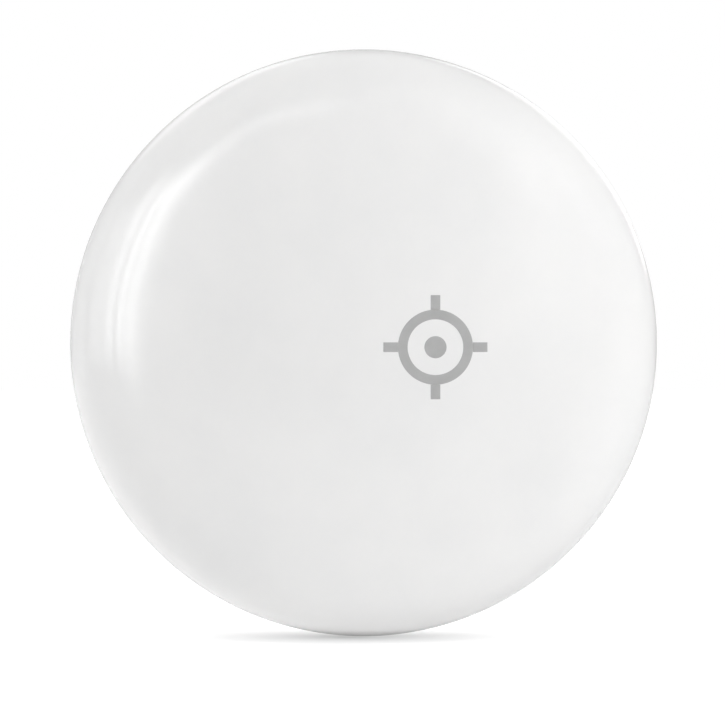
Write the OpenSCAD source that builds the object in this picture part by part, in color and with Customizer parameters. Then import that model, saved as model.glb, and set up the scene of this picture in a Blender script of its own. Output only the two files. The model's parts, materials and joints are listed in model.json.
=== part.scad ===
// Round bluetooth tracker tag: a domed press cover over a round board, a coin cell and a bayonet battery door.
// It stands on its rim, with the front facing -Y and the origin at the middle of its box.
// The parts are drawn lying flat, with +Z to the front and +Y to the top, and upright() stands them up.

/* [Case] */
// Diameter across the rim
tag_d = 38; // [38:0.5:42]
// Thickness from the top of the dome to the flat back
tag_t = 9.2; // [9.2:0.1:10]
// Height of the dome above the top of the shoulder
dome_rise = 0.8; // [0.6:0.05:1]
// Radius of the soft shoulder between face and edge
shoulder_r = 6; // [5.6:0.1:6.2]
// Radius of the rounded edge at the rim
edge_r = 3; // [2.8:0.1:3.2]
// Wall thickness of both covers
wall = 1; // [0.9:0.05:1.1]
// Straight part of the rim on the back cover
rim_land = 0.7; // [0.6:0.02:0.74]
// Gap between the covers that closes when the front is pressed
seam_gap = 0.35; // [0.3:0.01:0.4]
// Travel of the front cover
press_travel = 0.25; // [0.15:0.01:0.25]

/* [Coin cell] */
// Diameter of the coin cell
cell_d = 20; // [19.8:0.1:20]
// Thickness of the coin cell
cell_t = 3.2; // [3.1:0.05:3.2]

/* [Battery door] */
// Diameter of the door's flange
door_d = 25.2; // [25:0.1:25.3]
// How far the door's face lies below the back
door_recess = 0.1; // [0.05:0.01:0.15]
// Angle from unlocked to locked
door_turn = 45; // [40:1:46]
// Width of the coin slot
slot_w = 1.7; // [1.4:0.1:2]
// Length of the coin slot
slot_l = 15; // [12:0.5:17]
// Depth of the coin slot
slot_depth = 0.6; // [0.4:0.05:0.65]

/* [Circuit board] */
// Diameter of the board
board_d = 32.4; // [32:0.1:32.6]
// Thickness of the board
board_t = 0.6; // [0.5:0.05:0.6]
// Radius on which the board's screws and pegs sit
screw_ring_r = 14.9; // [14.85:0.01:15]
// Radius of a screw's thread
screw_r = 0.68; // [0.6:0.01:0.7]

/* [Locator symbol] */
// Distance of the symbol to the right of the middle
symbol_x = 4.6; // [3.5:0.1:5.5]
// Distance of the symbol above the middle
symbol_y = -0.3; // [-1:0.1:1]
// Outer radius of the symbol's ring
symbol_r = 2.4; // [2:0.1:2.8]
// Width of the symbol's strokes
symbol_stroke = 0.62; // [0.5:0.02:0.7]

/* [Hidden] */
$fn = 120;

// Surfaces that must not meet in a boolean are cut this much further.
over = 0.5;
tag_r = tag_d / 2;
front_z = tag_t / 2;
back_z = -tag_t / 2;

// Centres of the arcs of the outline, which meet with no kink. The shoulder meets the edge where the
// outline falls 3 in 4, and the dome's radius follows from its rise over the shoulder.
arc_step = shoulder_r - edge_r;
edge_c = tag_r - edge_r;
edge_slope = atan(3 / 4);
shoulder_c = edge_c - arc_step * 3 / 5;
shoulder_drop = arc_step * 4 / 5;
dome_r = shoulder_r + (pow(shoulder_c, 2) / dome_rise + dome_rise) / 2;
dome_z = front_z - dome_r;
dome_slope = asin(shoulder_c / (dome_r - shoulder_r));
front_edge_z = front_z - dome_rise - shoulder_r + shoulder_drop;
back_edge_z = back_z + shoulder_r - shoulder_drop;

// The seam between the covers
rim_top_z = back_edge_z + rim_land;
cover_edge_z = rim_top_z + seam_gap;

// The front cover's skirt and its snap hooks
skirt_in_r = tag_r - 2.4;
skirt_out_r = tag_r - 1.7;
skirt_top_z = front_edge_z + 1.97;
skirt_bottom_z = cover_edge_z - 1.25;
hook_reach = 0.45;
hook_top_z = cover_edge_z - 1.45;
hook_bottom_z = hook_top_z - 0.5;
hook_width = 24;
hook_angles = [45 : 90 : 315];
pocket_play = 0.05;
pocket_r = skirt_out_r + hook_reach + 0.2;

// The ring between skirt and back cover
seal_room_r = tag_r - 1.2;
seal_shelf_r = tag_r - 1.55;
seal_shelf_z = rim_top_z - 0.75;
case_seal_r = 0.22;

// The battery door, its bayonet and its O-ring, from the back face inwards
door_r = door_d / 2;
door_gap = 0.15;
door_face_z = back_z + door_recess;
flange_top_z = back_z + 0.65;
seat_z = back_z + 0.7;
door_plate_z = back_z + 1.1;
ledge_low_z = back_z + 1.5;
ledge_high_z = back_z + 1.95;
lug_low_z = back_z + 2;
door_top_z = back_z + 2.55;
lug_room_z = back_z + 2.65;
bay_plate_z = back_z + 3.25;
door_in_r = cell_d / 2 + 0.5;
door_out_r = door_in_r + 0.8;
seal_bore_r = door_out_r + 0.85;
lug_r = seal_bore_r - 0.2;
lug_room_r = lug_r + 0.15;
ledge_r = door_out_r + 0.1;
bay_out_r = lug_room_r + 1;
lug_count = 3;
lug_width = 30;
notch_width = 36;
stop_play = 1.5;
first_lug = 90;
door_seal_r = 0.4;
door_seal_z = back_z + 1.075;

// The coin cell and the bay round it
cell_r = cell_d / 2;
cell_z = back_z + 1.2;
cell_top_z = cell_z + cell_t;
bay_r = cell_r + 0.35;
collar_t = 1;
collar_top_z = cell_top_z + 0.2;
metal_t = 0.25;

// The board
board_z = cell_top_z + 0.5;
board_top_z = board_z + board_t;
board_r = board_d / 2;
floor_z = back_z + wall;
boss_r = 1.35;
peg_r = 0.6;
peg_shoulder_r = 1.05;
screw_angles = [30, 150, 270];
peg_angles = [210, 330];
fit_gap = 0.05;

// The switch below the symbol
switch_size = [3.9, 3, 1.3];
switch_z = board_top_z;
switch_top_z = switch_z + switch_size[2];
plate_t = 0.12;
stem_r = 0.85;
stem_flange_r = 1.1;
well_r = 1.2;
well_z = switch_z + 0.1;
dome_rim_z = well_z + press_travel + 0.02;
snap_dome_h = 0.3;
snap_dome_r = 1.1;
snap_dome_t = 0.06;
snap_sphere_r = (pow(snap_dome_r, 2) + pow(snap_dome_h, 2)) / (2 * snap_dome_h);
stem_z = dome_rim_z + snap_dome_h + 0.01;
stem_top_z = switch_top_z + plate_t + 0.4;
pad_z = stem_top_z + 0.03;
pad_t = 0.3;
pad_r = 1.4;
post_r = 1.6;

// The buzzer
buzzer_size = [9, 9, 1.6];
buzzer_at = [-7, -1.2];
buzzer_wall = 0.5;
lid_t = 0.1;

// Colours
shell_white = [0.94, 0.94, 0.94];
ink_grey = [0.67, 0.67, 0.67];
steel = [0.75, 0.75, 0.76];
gold = [0.85, 0.68, 0.35];
chip_black = [0.08, 0.08, 0.09];
board_green = [0.05, 0.28, 0.16];
rubber_grey = [0.25, 0.25, 0.27];

// Stands a flat-drawn part on its rim
module upright() {
    rotate([90, 0, 0]) children();
}

// A rectangle in the half section, from radius r1 to r2 and height z1 to z2
module span(r1, r2, z1, z2) {
    translate([r1, z1]) square([r2 - r1, z2 - z1]);
}

// Part of a ring with a rectangular section, centred on an angle
module ring_piece(middle, width, r1, r2, z1, z2) {
    rotate_extrude(angle = width, start = middle - width / 2) span(r1, r2, z1, z2);
}

// Puts a copy of its children at each angle on the screw ring
module on_screw_ring(angles) {
    for (a = angles) rotate([0, 0, a]) translate([screw_ring_r, 0, 0]) children();
}

// ---- Outline of the pebble ----

// Height reached by every wedge below, beyond the outline
far = tag_r;

// A point on the ray from c at a slope, at height z
function on_ray(c, slope, z) = [c[0] + (z - c[1]) * tan(slope), z];

// The shoulder and edge arcs above the edge centre's height, from a starting slope down to the rim
module edge_arcs(start_slope, inset) {
    shoulder = [shoulder_c, -shoulder_drop];
    edge = [edge_c, 0];
    intersection() {
        translate(shoulder) circle(r = shoulder_r - inset);
        polygon([on_ray(shoulder, start_slope, 0), on_ray(shoulder, start_slope, far),
                 on_ray(edge, edge_slope, far), edge]);
    }
    intersection() {
        translate(edge) circle(r = edge_r - inset);
        polygon([edge, on_ray(edge, edge_slope, far), [tag_r + far, far], [tag_r + far, 0]]);
    }
}

// Half section of the front, above the height of its edge centre
module front_outline(inset) {
    dome_low = dome_z - front_edge_z;
    translate([0, front_edge_z]) {
        intersection() {
            translate([0, dome_low]) circle(r = dome_r - inset, $fn = 720);
            polygon([[0, 0], [0, far], on_ray([0, dome_low], dome_slope, far),
                     on_ray([0, dome_low], dome_slope, 0)]);
        }
        edge_arcs(dome_slope, inset);
    }
}

// Half section of the back, below the height of its edge centre
module back_outline() {
    translate([0, back_edge_z]) mirror([0, 1]) {
        square([shoulder_c, back_edge_z - back_z]);
        edge_arcs(0, 0);
    }
}

// ---- Covers ----

// Domed front shell with a skirt, four snap hooks and the post that works the switch
module front_cover() {
    color(shell_white) upright() {
        rotate_extrude() {
            difference() {
                front_outline(0);
                front_outline(wall);
            }
            span(tag_r - wall, tag_r, cover_edge_z, front_edge_z);
            span(skirt_in_r, skirt_out_r, skirt_bottom_z, skirt_top_z);
        }
        for (a = hook_angles) {
            ring_piece(a, hook_width, skirt_in_r, skirt_out_r, hook_bottom_z, skirt_bottom_z + over);
            ring_piece(a, hook_width, skirt_out_r - 0.1, skirt_out_r + hook_reach, hook_bottom_z, hook_top_z);
        }
        translate([symbol_x, symbol_y, pad_z + pad_t])
            cylinder(r = post_r, h = front_z - wall / 2 - pad_z - pad_t);
    }
}

// Ring, dot and four ticks, seen from the front
module symbol_shape() {
    difference() {
        circle(r = symbol_r);
        circle(r = symbol_r - symbol_stroke);
    }
    circle(r = symbol_stroke * 1.15);
    for (a = [0 : 90 : 270]) rotate(a) translate([symbol_r - 0.1, -symbol_stroke / 2])
        square([symbol_stroke * 1.5 + 0.1, symbol_stroke]);
}

// Ink on the dome
module printed_symbol() {
    ink_gap = 0.002;
    ink_t = 0.016;
    color(ink_grey) upright() intersection() {
        translate([0, 0, dome_z]) difference() {
            sphere(r = dome_r + ink_gap + ink_t, $fn = 720);
            sphere(r = dome_r + ink_gap, $fn = 720);
        }
        translate([symbol_x, symbol_y, front_z - wall]) linear_extrude(2 * wall) symbol_shape();
    }
}

// Rubber pad between the cover's post and the switch
module button_pad() {
    color(rubber_grey) upright()
        translate([symbol_x, symbol_y, pad_z]) cylinder(r = pad_r, h = pad_t);
}

// Free room between the bay and the rim wall, with a rounded corner
module back_room() {
    corner_r = 2;
    corner_c = [seal_shelf_r - corner_r, floor_z + corner_r];
    span(bay_out_r, corner_c[0], floor_z, corner_c[1]);
    span(bay_out_r, seal_shelf_r, corner_c[1], front_z);
    intersection() {
        translate(corner_c) circle(r = corner_r);
        span(corner_c[0], seal_shelf_r, floor_z, corner_c[1]);
    }
}

// Half section of what is open from the back face to the board
module bay_room() {
    span(0, door_r + door_gap, back_z - over, seat_z);
    span(0, seal_bore_r, seat_z - over, ledge_low_z);
    span(0, ledge_r, ledge_low_z - over, ledge_high_z + over);
    span(0, lug_room_r, ledge_high_z, lug_room_z);
    span(0, bay_r, lug_room_z - over, front_z);
    span(bay_r + collar_t, bay_out_r, bay_plate_z, front_z);
}

// Small drilled marks on the back: one for unlocked, one for locked
module door_marks() {
    mark_r = 0.32;
    mark_depth = 0.12;
    mark_ring_r = (door_r + door_gap + shoulder_c) / 2;
    for (a = [first_lug, first_lug + door_turn]) rotate([0, 0, a])
        translate([mark_ring_r, 0, back_z - over]) cylinder(r = mark_r, h = mark_depth + over, $fn = 48);
}

// Flat-backed rear shell with the bay, the bayonet ledges, the stops, the bosses and the pegs
module back_cover() {
    notch_step = 360 / lug_count;
    stop_low = door_turn + lug_width / 2 + stop_play;
    stop_high = notch_step - lug_width / 2 - stop_play;
    color(shell_white) upright() difference() {
        union() {
            rotate_extrude() difference() {
                union() {
                    back_outline();
                    span(0, tag_r, back_edge_z, rim_top_z);
                    span(0, bay_out_r, back_edge_z, collar_top_z);
                }
                back_room();
                bay_room();
                span(bay_out_r - 0.1, seal_room_r, seal_shelf_z, front_z);
            }
            on_screw_ring(screw_angles) translate([0, 0, floor_z - wall / 4])
                cylinder(r = boss_r, h = board_z - floor_z + wall / 4);
            on_screw_ring(peg_angles) translate([0, 0, floor_z - wall / 4]) {
                cylinder(r = peg_shoulder_r, h = board_z - floor_z + wall / 4);
                cylinder(r = peg_r, h = board_top_z - floor_z + wall / 4 + 0.2);
            }
            for (k = [0 : lug_count - 1]) ring_piece(first_lug + k * notch_step + (stop_low + stop_high) / 2,
                stop_high - stop_low, ledge_r + 0.2, lug_room_r + 0.1, ledge_high_z - 0.1, lug_room_z + 0.1);
        }
        for (k = [0 : lug_count - 1]) ring_piece(first_lug + k * notch_step, notch_width,
            ledge_r - over, lug_room_r, ledge_low_z - 0.1, ledge_high_z + 0.1);
        for (a = hook_angles) ring_piece(a, hook_width + 6, seal_shelf_r - over, pocket_r,
            hook_bottom_z - press_travel - 2 * pocket_play, hook_top_z + pocket_play);
        on_screw_ring(screw_angles) translate([0, 0, floor_z + wall]) cylinder(r = screw_r + 0.02, h = tag_t);
        door_marks();
    }
}

// Rubber ring between the skirt and the back cover
module case_seal() {
    color(rubber_grey) upright() rotate_extrude()
        translate([(skirt_out_r + seal_room_r) / 2, seal_shelf_z + case_seal_r]) circle(r = case_seal_r, $fn = 48);
}

// ---- Battery door ----

// A straight slot with round ends
module slot_shape() {
    square([slot_l - slot_w, slot_w], center = true);
    for (s = [-1, 1]) translate([s * (slot_l - slot_w) / 2, 0]) circle(r = slot_w / 2, $fn = 48);
}

// Door with a coin slot, a pointer dot, a rim round the cell and three bayonet lugs
module battery_door() {
    chamfer = 0.15;
    dot_r = 0.4;
    color(shell_white) upright() {
        difference() {
            rotate_extrude() polygon([
                [0, door_face_z], [door_r - chamfer, door_face_z], [door_r, door_face_z + chamfer],
                [door_r, flange_top_z], [door_out_r, flange_top_z], [door_out_r, door_top_z],
                [door_in_r, door_top_z], [door_in_r, door_plate_z], [0, door_plate_z]
            ]);
            translate([0, 0, door_face_z - over]) linear_extrude(slot_depth + over)
                rotate(first_lug) slot_shape();
            rotate([0, 0, first_lug]) translate([door_r - 1.6, 0, door_face_z - over])
                cylinder(r = dot_r, h = over + 0.15, $fn = 48);
        }
        for (k = [0 : lug_count - 1]) ring_piece(first_lug + k * 360 / lug_count, lug_width,
            door_out_r - 0.2, lug_r, lug_low_z, door_top_z);
    }
}

// O-ring on the door
module door_seal() {
    color(rubber_grey) upright() rotate_extrude()
        translate([(door_out_r + seal_bore_r) / 2, door_seal_z]) circle(r = door_seal_r, $fn = 48);
}

// ---- Coin cell ----

// Can, open to the front, with its lip crimped over the gasket and a plus pressed into its base
module cell_can() {
    lip_z = cell_top_z - 0.4;
    lip_r = cell_r - 0.75;
    bevel = 0.2;
    plus_l = 4;
    plus_w = 0.7;
    color(steel) upright() difference() {
        rotate_extrude() polygon([
            [0, cell_z], [cell_r - bevel, cell_z], [cell_r, cell_z + bevel],
            [cell_r, lip_z - 1.3 * bevel], [cell_r - 1.3 * bevel, lip_z], [lip_r, lip_z],
            [lip_r, lip_z - 0.15], [cell_r - metal_t - 0.1, lip_z - 0.15],
            [cell_r - metal_t, lip_z - 0.35], [cell_r - metal_t, cell_z + metal_t], [0, cell_z + metal_t]
        ]);
        for (a = [0, 90]) rotate([0, 0, a]) translate([0, 0, cell_z])
            cube([plus_l, plus_w, 0.1], center = true);
    }
}

// Cap with a step down to the flange that the gasket holds
module cell_cap() {
    top_r = cell_r - 1.45;
    low_z = cell_top_z - 2.4;
    color(steel) upright() rotate_extrude() polygon([
        [0, cell_top_z], [top_r, cell_top_z], [top_r + 0.2, cell_top_z - 0.2],
        [top_r + 0.25, cell_top_z - 0.9], [top_r + 0.45, cell_top_z - 1], [top_r + 0.45, low_z],
        [top_r + 0.25, low_z], [top_r + 0.2, cell_top_z - 1.1], [top_r, cell_top_z - 1],
        [top_r - 0.05, cell_top_z - 0.3], [top_r - 0.2, cell_top_z - 0.2], [0, cell_top_z - 0.2]
    ]);
}

// Plastic ring between can and cap
module cell_gasket() {
    color("dimgray") upright() rotate_extrude() {
        span(cell_r - 0.97, cell_r - 0.4, cell_top_z - 2.5, cell_top_z - 0.6);
        span(cell_r - 1.12, cell_r - 0.78, cell_top_z - 0.75, cell_top_z - 0.34);
    }
}

// The sealed stack of electrodes
module cell_electrodes() {
    color("darkslategray") upright()
        translate([0, 0, cell_z + metal_t + 0.03])
            cylinder(r = cell_r - 1.65, h = cell_t - metal_t - 0.28);
}

// ---- Circuit board ----

// Board with its screw and peg holes and the slots for the contacts
module circuit_board() {
    color(board_green) upright() difference() {
        translate([0, 0, board_z]) cylinder(r = board_r, h = board_t);
        on_screw_ring(screw_angles) translate([0, 0, board_z - over])
            cylinder(r = screw_r + 0.15, h = board_t + 2 * over);
        on_screw_ring(peg_angles) translate([0, 0, board_z - over])
            cylinder(r = peg_r + fit_gap, h = board_t + 2 * over);
        for (p = contact_tabs) translate([p[0], p[1], board_z])
            cube([tab_t + 0.2, tab_w + 0.3, 3 * board_t], center = true);
    }
}

// Screws with a cross in the head
module board_screws() {
    head_r = 1.2;
    head_h = 0.45;
    thread_l = 3.2;
    color(steel) upright() on_screw_ring(screw_angles) difference() {
        union() {
            translate([0, 0, board_top_z]) cylinder(r = head_r, h = head_h);
            translate([0, 0, board_top_z - thread_l]) cylinder(r = screw_r, h = thread_l + head_h / 2);
        }
        for (a = [0, 90]) rotate([0, 0, a]) translate([0, 0, board_top_z + head_h])
            cube([1.4, 0.32, head_h], center = true);
    }
}

// A flat chip on the board, given by its middle, size and turn
module chip(at, size, turn = 0) {
    translate([at[0], at[1], board_top_z]) rotate([0, 0, turn])
        translate([-size[0] / 2, -size[1] / 2, 0]) cube(size);
}

module soc_chip() {
    pin_dot_r = 0.3;
    soc_size = [5, 5, 0.85];
    soc_at = [-0.4, 8.6];
    color(chip_black) upright() difference() {
        chip(soc_at, soc_size);
        translate([soc_at[0] - 1.8, soc_at[1] + 1.8, board_top_z + soc_size[2] - 0.05])
            cylinder(r = pin_dot_r, h = over, $fn = 32);
    }
}

module motion_chip() {
    color(chip_black) upright() chip([5.2, 9.2], [2.5, 2, 0.8]);
}

module radio_crystal() {
    color(steel) upright() chip([-5.3, 8.3], [2, 1.6, 0.5]);
}

module clock_crystal() {
    color(steel) upright() chip([-5.9, 10.9], [3.2, 1.5, 0.8]);
}

module chip_antenna() {
    color("ivory") upright() chip([0, 14.4], [7, 2, 0.8]);
}

module chip_inductor() {
    color("dimgray") upright() chip([9.2, 4.6], [2.5, 2, 1]);
}

// Ceramic capacitors: small ones round the radio chip and two large ones by the switch
module chip_capacitors() {
    small = [1, 0.5, 0.5];
    large = [2, 1.25, 1.1];
    color("tan") upright() {
        for (k = [0 : 3]) chip([-2.2 + 1.2 * k, 12.1], small, 90);
        for (k = [0 : 2]) chip([-3.9, 6.6 - 0.9 * k], small);
        for (k = [0 : 1]) chip([9.3, 1.8 - 4.4 * k], large);
    }
}

// Resistors in two short rows
module chip_resistors() {
    size = [1, 0.5, 0.35];
    color(chip_black) upright() {
        for (k = [0 : 2]) chip([1 + 1.1 * k, 4.6], size, 90);
        for (k = [0 : 3]) chip([3.4 + 1.1 * k, -6.2], size, 90);
    }
}

// ---- Buzzer ----

// Square housing with a sound chamber
module buzzer_case() {
    chamber_r = buzzer_size[0] / 2 - buzzer_wall;
    color(chip_black) upright() difference() {
        chip(buzzer_at, buzzer_size);
        translate([buzzer_at[0], buzzer_at[1], board_top_z + buzzer_wall]) cylinder(r = chamber_r, h = over * 4);
    }
}

// Metal lid with the sound hole
module buzzer_lid() {
    lid_gap = 0.1;
    hole_r = 0.6;
    lid = [buzzer_size[0] - lid_gap, buzzer_size[1] - lid_gap, lid_t];
    color(steel) upright() translate([0, 0, buzzer_size[2]]) difference() {
        chip(buzzer_at, lid);
        translate([buzzer_at[0] + 2.6, buzzer_at[1] + 2.6, board_top_z - over])
            cylinder(r = hole_r, h = 2 * over + lid_t, $fn = 48);
    }
}

// ---- Switch ----

// Moves its children to the switch, at a height
module at_switch(z) {
    translate([symbol_x, symbol_y, z]) children();
}

// Housing with a round well for dome and stem
module switch_body() {
    color(chip_black) upright() difference() {
        at_switch(switch_z) translate([-switch_size[0] / 2, -switch_size[1] / 2, 0]) cube(switch_size);
        at_switch(well_z) cylinder(r = well_r, h = switch_size[2]);
    }
}

// Metal plate with two folded sides that keeps the stem in
module switch_frame() {
    side_t = 0.1;
    side_gap = 0.02;
    size = [switch_size[0] - 0.6, switch_size[1] + 2 * side_t + 2 * side_gap];
    color(steel) upright() difference() {
        union() {
            at_switch(switch_top_z + plate_t / 2) cube([size[0], size[1], plate_t], center = true);
            for (s = [-1, 1]) at_switch(switch_top_z - 0.3)
                translate([0, s * (size[1] - side_t) / 2, 0]) cube([size[0], side_t, 0.6 + plate_t], center = true);
        }
        at_switch(switch_top_z - over) cylinder(r = stem_r + fit_gap, h = 2 * over);
    }
}

// Four feet that carry the switch on the board
module switch_terminals() {
    foot = [0.6, 0.5, 0.15];
    color(gold) upright() for (sx = [-1, 1], sy = [-1, 1])
        at_switch(switch_z + foot[2] / 2)
            translate([sx * (switch_size[0] + foot[0]) / 2, sy * 0.9, 0]) cube(foot, center = true);
}

// Stem with a flange below the frame
module switch_plunger() {
    flange_t = 0.2;
    color("dimgray") upright() at_switch(stem_z) {
        cylinder(r = stem_flange_r, h = flange_t);
        cylinder(r = stem_r, h = stem_top_z - stem_z);
    }
}

// Thin round snap dome
module switch_dome() {
    cap_low = snap_sphere_r - snap_dome_h;
    color(steel) upright() at_switch(dome_rim_z - cap_low) rotate_extrude() intersection() {
        difference() {
            circle(r = snap_sphere_r);
            circle(r = snap_sphere_r - snap_dome_t);
        }
        span(0, snap_sphere_r, cap_low, snap_sphere_r + over);
    }
}

// ---- Cell contacts ----

tab_t = 0.15;
tab_w = 1.4;
contact_foot_z = board_z - tab_t;
side_contact_x = -(cell_r + 0.05);
side_foot_l = 2.2;
leaf_x = 7.6;
leaf_flat_l = 2.5;
leaf_fall_l = 4.6;
leaf_tip_l = 0.8;
contact_tabs = [[side_contact_x - side_foot_l + tab_t / 2, 0], [leaf_x - tab_t / 2, 0]];

// A strip bent in the XZ plane, given by its outline there and its width
module bent_strip(outline, width) {
    rotate([90, 0, 0]) translate([0, 0, -width / 2]) linear_extrude(width) polygon(outline);
}

// Solder tab that goes up through the board
module solder_tab(at) {
    translate([at[0], at[1], board_z + board_t / 2]) cube([tab_t, tab_w, board_t + 0.3], center = true);
}

// Side spring on the can
module positive_contact() {
    width = 3;
    low_z = cell_top_z - 1;
    x1 = side_contact_x;
    x2 = x1 - tab_t;
    x3 = x1 - side_foot_l;
    color(gold) upright() {
        bent_strip([[x1, low_z], [x2, low_z], [x2, contact_foot_z], [x3, contact_foot_z],
                    [x3, board_z], [x1, board_z]], width);
        solder_tab(contact_tabs[0]);
    }
}

// Leaf spring on the cap
module negative_contact() {
    width = 3;
    tip_z = cell_top_z + 0.01;
    tip_rise = 0.09;
    leaf_t = 0.12;
    x2 = leaf_x - leaf_flat_l;
    x3 = x2 - leaf_fall_l;
    x4 = x3 - leaf_tip_l;
    color(gold) upright() {
        bent_strip([[leaf_x, board_z - leaf_t], [x2, board_z - leaf_t], [x3, tip_z], [x4, tip_z + tip_rise],
                    [x4, tip_z + tip_rise + leaf_t], [x3, tip_z + leaf_t], [x2, board_z], [leaf_x, board_z]], width);
        solder_tab(contact_tabs[1]);
    }
}

front_cover();
printed_symbol();
button_pad();
back_cover();
case_seal();
battery_door();
door_seal();
cell_can();
cell_cap();
cell_gasket();
cell_electrodes();
circuit_board();
board_screws();
soc_chip();
motion_chip();
radio_crystal();
clock_crystal();
chip_antenna();
chip_inductor();
chip_capacitors();
chip_resistors();
buzzer_case();
buzzer_lid();
switch_body();
switch_frame();
switch_terminals();
switch_plunger();
switch_dome();
positive_contact();
negative_contact();
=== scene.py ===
"""The looks of a round bluetooth tracker tag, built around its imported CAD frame.

Shapes are worked out in millimetres as (right, up, front), with the origin in the middle of the tag. place()
turns them into the frame's metres: right is +X, up is +Z and front is -Y.
"""

import json
import math

import bmesh
import bpy
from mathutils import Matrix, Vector


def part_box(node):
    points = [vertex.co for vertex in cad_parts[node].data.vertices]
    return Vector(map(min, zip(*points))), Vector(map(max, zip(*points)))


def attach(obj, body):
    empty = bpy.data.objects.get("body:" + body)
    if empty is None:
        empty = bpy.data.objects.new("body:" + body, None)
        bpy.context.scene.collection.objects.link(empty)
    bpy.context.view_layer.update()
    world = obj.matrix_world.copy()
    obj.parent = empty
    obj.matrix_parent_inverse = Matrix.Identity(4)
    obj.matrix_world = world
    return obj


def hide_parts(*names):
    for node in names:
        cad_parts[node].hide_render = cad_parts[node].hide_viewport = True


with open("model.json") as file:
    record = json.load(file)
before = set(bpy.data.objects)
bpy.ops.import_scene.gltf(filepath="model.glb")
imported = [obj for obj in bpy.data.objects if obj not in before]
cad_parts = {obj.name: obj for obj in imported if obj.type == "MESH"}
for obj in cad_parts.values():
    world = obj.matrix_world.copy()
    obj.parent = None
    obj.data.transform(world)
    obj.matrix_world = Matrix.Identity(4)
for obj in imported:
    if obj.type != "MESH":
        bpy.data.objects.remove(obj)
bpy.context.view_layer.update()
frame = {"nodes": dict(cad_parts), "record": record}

MM = 0.001
TURN = 2 * math.pi
ON_AXIS = 1e-6


# ---- Reading the frame ----

def place(right, up, front):
    return Vector((right * MM, -front * MM, up * MM))


def reach(node):
    """Lowest and highest (right, up, front) of a CAD node, in millimetres."""
    low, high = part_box(node)
    return (low.x / MM, low.z / MM, -high.y / MM), (high.x / MM, high.z / MM, -low.y / MM)


def middle(node):
    low, high = reach(node)
    return tuple((a + b) / 2 for a, b in zip(low, high))


def mount(name):
    return next(m for m in frame["record"]["mounts"] if m["name"] == name)


TAG_R = reach("front_cover")[1][0]
FRONT = reach("front_cover")[1][2]
BACK = reach("back_cover")[0][2]
RIM = mount("rim")
LAND_MIDDLE = -RIM["pos_m"][1] / MM
RIM_TOP = LAND_MIDDLE + RIM["dims"]["length_mm"] / 2
BACK_EDGE = LAND_MIDDLE - RIM["dims"]["length_mm"] / 2
SEAM_GAP = 0.35
COVER_EDGE = RIM_TOP + SEAM_GAP

# The arcs of the pebble's outline, as in the CAD model
SHOULDER_R = 6.0
EDGE_R = 3.0
DOME_RISE = 0.8
EDGE_SLOPE = math.atan(3 / 4)
WALL = 1.0
EDGE_C = TAG_R - EDGE_R
SHOULDER_C = EDGE_C - (SHOULDER_R - EDGE_R) * 3 / 5
SHOULDER_DROP = (SHOULDER_R - EDGE_R) * 4 / 5
DOME_R = SHOULDER_R + (SHOULDER_C ** 2 / DOME_RISE + DOME_RISE) / 2
DOME_SLOPE = math.asin(SHOULDER_C / (DOME_R - SHOULDER_R))
FRONT_EDGE = FRONT - DOME_RISE - SHOULDER_R + SHOULDER_DROP
# The finer cover starts to turn into the shoulder here, and is back on the shoulder's arc there
EASE_FROM = 12.2
EASE_TO = 17.2


# ---- Outlines in the half section: lists of (radius, front) ----

def arc(centre, radius, start, end, steps):
    """Points on an arc. Angles are slopes: 0 faces the front and a quarter turn faces outwards."""
    angles = [start + (end - start) * k / steps for k in range(steps + 1)]
    return [(centre[0] + radius * math.sin(a), centre[1] + radius * math.cos(a)) for a in angles]


def rounded(corners, steps=4):
    """A path of (radius, front) or (radius, front, fillet), rounded at the corners that have a fillet."""
    path = []
    for k, (r, z, *fillet) in enumerate(corners):
        here = Vector((r, z))
        if not fillet:
            path.append((r, z))
            continue
        before = Vector(corners[k - 1][:2]) - here
        after = Vector(corners[(k + 1) % len(corners)][:2]) - here
        cut = min(fillet[0], before.length * 0.49, after.length * 0.49)
        a, b = here + before.normalized() * cut, here + after.normalized() * cut
        for s in range(steps + 1):
            t = s / steps
            path.append(tuple(a * (1 - t) ** 2 + here * 2 * t * (1 - t) + b * t ** 2))
    return path


def front_path(inset):
    """From the middle of the dome out to the rim, at the height of the edge's centre."""
    path = arc((0, FRONT - DOME_R), DOME_R - inset, 0, DOME_SLOPE, 30)
    path += arc((SHOULDER_C, FRONT_EDGE - SHOULDER_DROP), SHOULDER_R - inset, DOME_SLOPE, EDGE_SLOPE, 18)[1:]
    path += arc((EDGE_C, FRONT_EDGE), EDGE_R - inset, EDGE_SLOPE, TURN / 4, 20)[1:]
    return path


def eased_front_path():
    """The outer front path, where the dome eases into the shoulder instead of meeting it in one line."""
    start, end = math.asin(EASE_FROM / DOME_R), math.asin((EASE_TO - SHOULDER_C) / SHOULDER_R)
    path = arc((0, FRONT - DOME_R), DOME_R, 0, start, 24)
    last = arc((SHOULDER_C, FRONT_EDGE - SHOULDER_DROP), SHOULDER_R, end, EDGE_SLOPE, 14)
    low, high = path[-1][1], last[0][1]
    fall, steep, width = -math.tan(start), -math.tan(end), EASE_TO - EASE_FROM
    power = (steep - fall) / ((high - low) / width - fall)
    for step in range(1, 30):
        u = step / 30
        path.append((EASE_FROM + width * u, low + width * (fall * u + (steep - fall) * u ** power / power)))
    return path + last + arc((EDGE_C, FRONT_EDGE), EDGE_R, EDGE_SLOPE, TURN / 4, 20)[1:]


def back_path():
    """From the rim in to the edge of the flat back."""
    path = arc((EDGE_C, BACK_EDGE), EDGE_R, TURN / 4, TURN / 2 - EDGE_SLOPE, 20)
    path += arc((SHOULDER_C, BACK_EDGE + SHOULDER_DROP), SHOULDER_R, TURN / 2 - EDGE_SLOPE, TURN / 2, 18)[1:]
    return path


# ---- Mesh tools ----

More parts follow.
